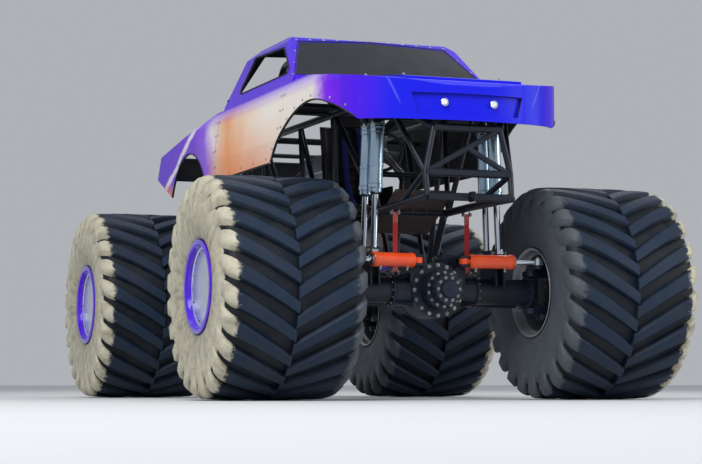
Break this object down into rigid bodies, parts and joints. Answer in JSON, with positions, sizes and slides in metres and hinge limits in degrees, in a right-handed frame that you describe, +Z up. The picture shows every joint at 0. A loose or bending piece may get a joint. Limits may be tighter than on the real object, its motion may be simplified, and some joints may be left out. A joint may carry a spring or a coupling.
{
  "type": "monster truck",
  "caption": "Monster truck: tall lugged tyres on steered axles, tube frame on paired shocks, blown engine and pickup-style body shell.",
  "frame": {"origin": "on the ground below the centre of the overall box, the truck standing on its four tyres", "axes": "+Z up, -Y towards the truck's front, +X towards its left side"},
  "size_m": [3.812, 5.5873, 3.079],
  "materials": {
    "tyre": "moulded, matt",
    "rim": "gloss",
    "axle_black": "satin",
    "frame_black": "gloss powder coat",
    "orange_paint": "gloss",
    "purple_paint": "gloss",
    "chrome_rod": "polished",
    "shock_alloy": "polished",
    "belly_alloy": "scuffed",
    "floor_sheet": "dusty",
    "strap_web": "woven",
    "cast_engine": "painted",
    "polished_alloy": "polished",
    "cast_alloy": "as cast",
    "shaft_steel": "satin",
    "fuel_cell_black": "matt",
    "seat_vinyl": "matt",
    "matte_black": "matt",
    "lamp_lens": "clear",
    "body_paint": "gloss",
    "screen_glass": "tinted"
  },
  "bodies": {
    "chassis": {"axle_housings": "axle_black", "shock_bodies": "shock_alloy", "shock_rods": "chrome_rod", "link_bars": "purple_paint", "frame_rails": "frame_black", "roll_cage": "frame_black", "frame_crossbars": "frame_black", "frame_braces": "frame_black", "frame_tabs": "frame_black", "belly_plate": "belly_alloy", "floor_panels": "floor_sheet", "tow_eyes": "frame_black", "limit_straps": "strap_web", "engine_block": "cast_engine", "blower": "polished_alloy", "headers": "orange_paint", "transmission": "cast_alloy", "driveshafts": "shaft_steel", "fuel_cell": "fuel_cell_black", "seat": "seat_vinyl", "steering_wheel": "matte_black", "front_lamps": "lamp_lens", "body_front": "body_paint", "body_cab": "body_paint", "body_bed": "body_paint", "windshield": "screen_glass"},
    "wheel_front_left": {"tyre_front_left": "tyre", "rim_front_left": "rim"},
    "knuckle_front_left": {"knuckle_front_left": "axle_black"},
    "steering_barrel_front_left": {"steering_barrel_front_left": "orange_paint"},
    "steering_rod_front_left": {"steering_rod_front_left": "chrome_rod"},
    "wheel_front_right": {"tyre_front_right": "tyre", "rim_front_right": "rim"},
    "knuckle_front_right": {"knuckle_front_right": "axle_black"},
    "steering_barrel_front_right": {"steering_barrel_front_right": "orange_paint"},
    "steering_rod_front_right": {"steering_rod_front_right": "chrome_rod"},
    "tie_rod_front": {"tie_rod_front": "axle_black"},
    "wheel_rear_left": {"tyre_rear_left": "tyre", "rim_rear_left": "rim"},
    "knuckle_rear_left": {"knuckle_rear_left": "axle_black"},
    "steering_barrel_rear_left": {"steering_barrel_rear_left": "orange_paint"},
    "steering_rod_rear_left": {"steering_rod_rear_left": "chrome_rod"},
    "wheel_rear_right": {"tyre_rear_right": "tyre", "rim_rear_right": "rim"},
    "knuckle_rear_right": {"knuckle_rear_right": "axle_black"},
    "steering_barrel_rear_right": {"steering_barrel_rear_right": "orange_paint"},
    "steering_rod_rear_right": {"steering_rod_rear_right": "chrome_rod"},
    "tie_rod_rear": {"tie_rod_rear": "axle_black"}
  },
  "joints": [
    {"name": "steer_front_left", "type": "hinge", "parent": "chassis", "child": "knuckle_front_left", "pos_m": [0.95, -1.956, 0.838], "axis": [0, 0, 1], "range_deg": [-20, 20]},
    {"name": "wheel_spin_front_left", "type": "hinge", "parent": "knuckle_front_left", "child": "wheel_front_left", "pos_m": [1.36, -1.956, 0.838], "axis": [1, 0, 0], "continuous": true},
    {"name": "cylinder_swing_front_left", "type": "hinge", "parent": "chassis", "child": "steering_barrel_front_left", "pos_m": [0.19, -2.146, 1.059], "axis": [0, 0, 1], "range_deg": [-4.78, 4.78]},
    {"name": "cylinder_stroke_front_left", "type": "slide", "parent": "steering_barrel_front_left", "child": "steering_rod_front_left", "axis": [0.9909, -0.1344, 0], "range_m": [-0.0996, 0.0996]},
    {"name": "steer_front_right", "type": "hinge", "parent": "chassis", "child": "knuckle_front_right", "pos_m": [-0.95, -1.956, 0.838], "axis": [0, 0, 1], "range_deg": [-20, 20]},
    {"name": "wheel_spin_front_right", "type": "hinge", "parent": "knuckle_front_right", "child": "wheel_front_right", "pos_m": [-1.36, -1.956, 0.838], "axis": [1, 0, 0], "continuous": true},
    {"name": "cylinder_swing_front_right", "type": "hinge", "parent": "chassis", "child": "steering_barrel_front_right", "pos_m": [-0.19, -2.146, 1.059], "axis": [0, 0, 1], "range_deg": [-4.78, 4.78]},
    {"name": "cylinder_stroke_front_right", "type": "slide", "parent": "steering_barrel_front_right", "child": "steering_rod_front_right", "axis": [-0.9909, -0.1344, 0], "range_m": [-0.0996, 0.0996]},
    {"name": "tie_rod_swivel_front", "type": "hinge", "parent": "knuckle_front_left", "child": "tie_rod_front", "pos_m": [0.95, -1.741, 0.743], "axis": [0, 0, 1], "range_deg": [-20.5, 20.5]},
    {"name": "steer_rear_left", "type": "hinge", "parent": "chassis", "child": "knuckle_rear_left", "pos_m": [0.95, 1.644, 0.838], "axis": [0, 0, 1], "range_deg": [-20, 20]},
    {"name": "wheel_spin_rear_left", "type": "hinge", "parent": "knuckle_rear_left", "child": "wheel_rear_left", "pos_m": [1.36, 1.644, 0.838], "axis": [1, 0, 0], "continuous": true},
    {"name": "cylinder_swing_rear_left", "type": "hinge", "parent": "chassis", "child": "steering_barrel_rear_left", "pos_m": [0.19, 1.834, 1.059], "axis": [0, 0, 1], "range_deg": [-4.78, 4.78]},
    {"name": "cylinder_stroke_rear_left", "type": "slide", "parent": "steering_barrel_rear_left", "child": "steering_rod_rear_left", "axis": [0.9909, 0.1344, 0], "range_m": [-0.0996, 0.0996]},
    {"name": "steer_rear_right", "type": "hinge", "parent": "chassis", "child": "knuckle_rear_right", "pos_m": [-0.95, 1.644, 0.838], "axis": [0, 0, 1], "range_deg": [-20, 20]},
    {"name": "wheel_spin_rear_right", "type": "hinge", "parent": "knuckle_rear_right", "child": "wheel_rear_right", "pos_m": [-1.36, 1.644, 0.838], "axis": [1, 0, 0], "continuous": true},
    {"name": "cylinder_swing_rear_right", "type": "hinge", "parent": "chassis", "child": "steering_barrel_rear_right", "pos_m": [-0.19, 1.834, 1.059], "axis": [0, 0, 1], "range_deg": [-4.78, 4.78]},
    {"name": "cylinder_stroke_rear_right", "type": "slide", "parent": "steering_barrel_rear_right", "child": "steering_rod_rear_right", "axis": [-0.9909, 0.1344, 0], "range_m": [-0.0996, 0.0996]},
    {"name": "tie_rod_swivel_rear", "type": "hinge", "parent": "knuckle_rear_left", "child": "tie_rod_rear", "pos_m": [0.95, 1.429, 0.743], "axis": [0, 0, 1], "range_deg": [-20.5, 20.5]}
  ],
  "couplings": [
    {"joint": "cylinder_swing_front_left", "follows": "steer_front_left", "ratio": -0.214},
    {"joint": "cylinder_stroke_front_left", "follows": "steer_front_left", "m_per_rad": 0.2797},
    {"joint": "steer_front_right", "follows": "steer_front_left", "ratio": 1},
    {"joint": "cylinder_swing_front_right", "follows": "steer_front_left", "ratio": -0.214},
    {"joint": "cylinder_stroke_front_right", "follows": "steer_front_left", "m_per_rad": -0.2797},
    {"joint": "tie_rod_swivel_front", "follows": "steer_front_left", "ratio": -1},
    {"joint": "cylinder_swing_rear_left", "follows": "steer_rear_left", "ratio": -0.214},
    {"joint": "cylinder_stroke_rear_left", "follows": "steer_rear_left", "m_per_rad": -0.2797},
    {"joint": "steer_rear_right", "follows": "steer_rear_left", "ratio": 1},
    {"joint": "cylinder_swing_rear_right", "follows": "steer_rear_left", "ratio": -0.214},
    {"joint": "cylinder_stroke_rear_right", "follows": "steer_rear_left", "m_per_rad": 0.2797},
    {"joint": "tie_rod_swivel_rear", "follows": "steer_rear_left", "ratio": -1}
  ]
}
